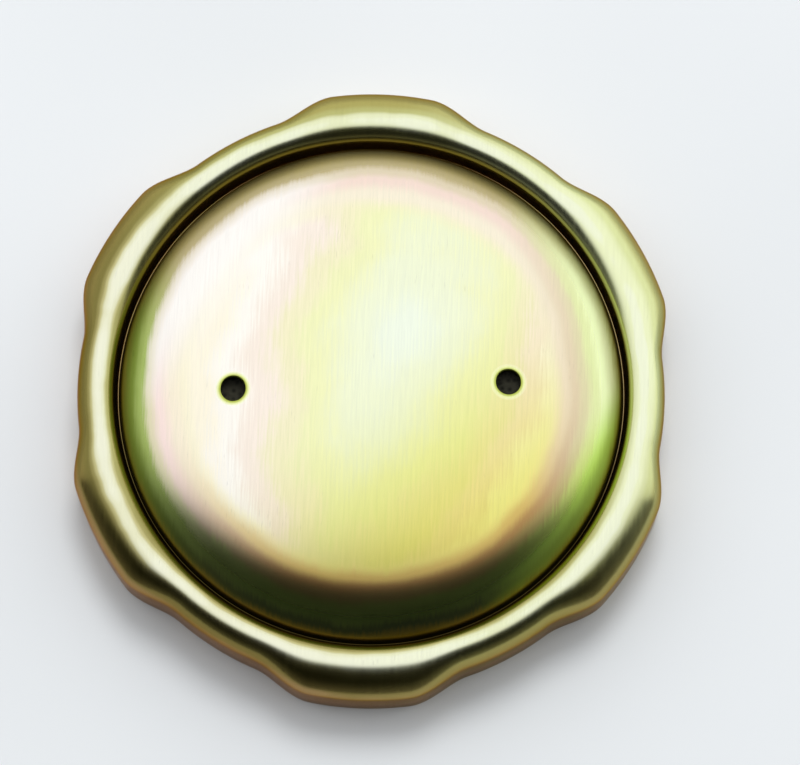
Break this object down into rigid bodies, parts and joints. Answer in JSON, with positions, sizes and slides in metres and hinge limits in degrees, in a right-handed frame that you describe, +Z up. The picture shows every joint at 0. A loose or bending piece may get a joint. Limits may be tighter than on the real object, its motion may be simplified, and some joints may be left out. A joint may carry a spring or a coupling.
{
  "type": "fuel cap",
  "caption": "Round pressed-steel tank cap with a lobed grip rim, a vented domed cover, a flat gasket and a bayonet spring underneath.",
  "frame": {"origin": "on the cap's axis, in the plane of the skirt's edge that the cap rests on", "axes": "+Z up along the cap's axis, out of the domed cover; +X through two valleys of the grip and along the bayonet ears; +Y through two lobes"},
  "size_m": [0.0606, 0.064, 0.0109],
  "materials": {
    "zinc": "yellow-chromated zinc plate, satin, with pink and green interference tints",
    "spring_steel": "zinc-plated spring steel",
    "rubber": "matt black fuel-proof rubber",
    "foam": "dark open-cell foam"
  },
  "bodies": {
    "root": {"outer_cap": "zinc", "vent_cover": "zinc", "vent_filter": "foam", "gasket": "rubber", "seal_plate": "zinc", "bayonet_spring": "spring_steel", "rivets": "zinc"}
  },
  "joints": []
}
